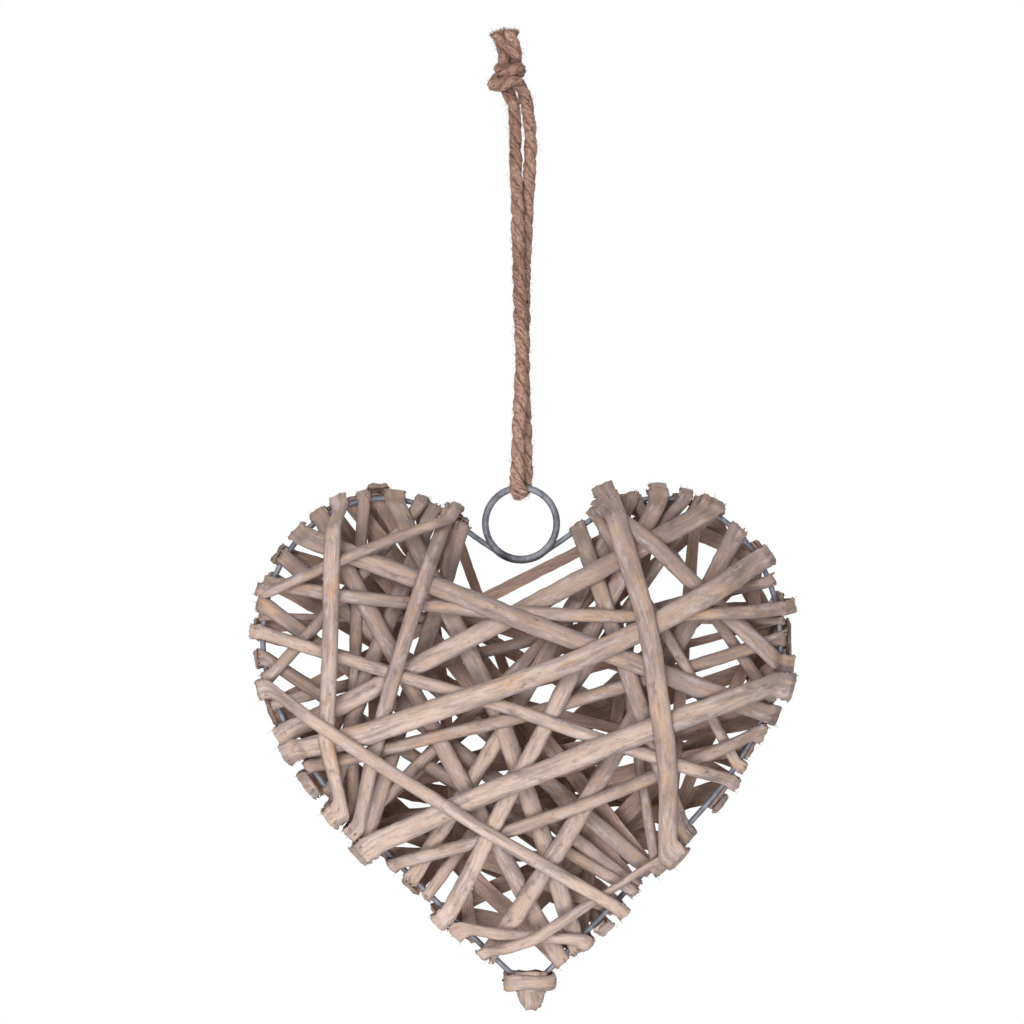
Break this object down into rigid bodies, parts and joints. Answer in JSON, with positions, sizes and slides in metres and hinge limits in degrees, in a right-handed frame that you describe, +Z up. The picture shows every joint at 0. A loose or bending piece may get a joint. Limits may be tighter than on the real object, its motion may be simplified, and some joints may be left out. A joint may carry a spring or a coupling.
{
  "type": "hanging woven heart ornament",
  "caption": "Heart of split willow strips wound over a steel wire outline, with a wire ring in the notch and a knotted jute loop to hang it by.",
  "frame": {"origin": "the hanging point: between the two strands of the jute loop, just under its knot, in the plane of the heart's wire", "axes": "+Z up as it hangs, the heart's front facing -Y, +X to the right seen from the front"},
  "size_m": [0.2072, 0.0517, 0.3685],
  "materials": {
    "willow": "dry split willow under a thin grey wash, matt",
    "galvanised_wire": "zinc-coated drawn wire, dull",
    "jute": "natural brown twisted twine, hairy"
  },
  "bodies": {
    "root": {"wire_frame": "galvanised_wire", "hanging_ring": "galvanised_wire", "willow_strip_01": "willow", "willow_strip_02": "willow", "willow_strip_03": "willow", "willow_strip_04": "willow", "willow_strip_05": "willow", "willow_strip_06": "willow", "willow_strip_07": "willow", "willow_strip_08": "willow", "willow_strip_09": "willow", "willow_strip_10": "willow", "willow_strip_11": "willow", "willow_strip_12": "willow", "willow_strip_13": "willow", "willow_strip_14": "willow", "willow_strip_15": "willow", "willow_strip_16": "willow", "willow_strip_17": "willow", "willow_strip_18": "willow", "willow_strip_19": "willow", "willow_strip_20": "willow", "willow_strip_21": "willow", "willow_strip_22": "willow", "willow_strip_23": "willow", "willow_strip_24": "willow", "willow_strip_25": "willow", "willow_strip_26": "willow", "willow_strip_27": "willow", "willow_strip_28": "willow", "willow_strip_29": "willow", "willow_strip_30": "willow", "willow_strip_31": "willow", "willow_strip_32": "willow", "willow_strip_33": "willow", "willow_strip_34": "willow", "willow_strip_35": "willow", "willow_strip_36": "willow", "tip_fold": "willow", "tip_binding": "willow", "jute_loop": "jute", "loop_knot": "jute"}
  },
  "joints": []
}
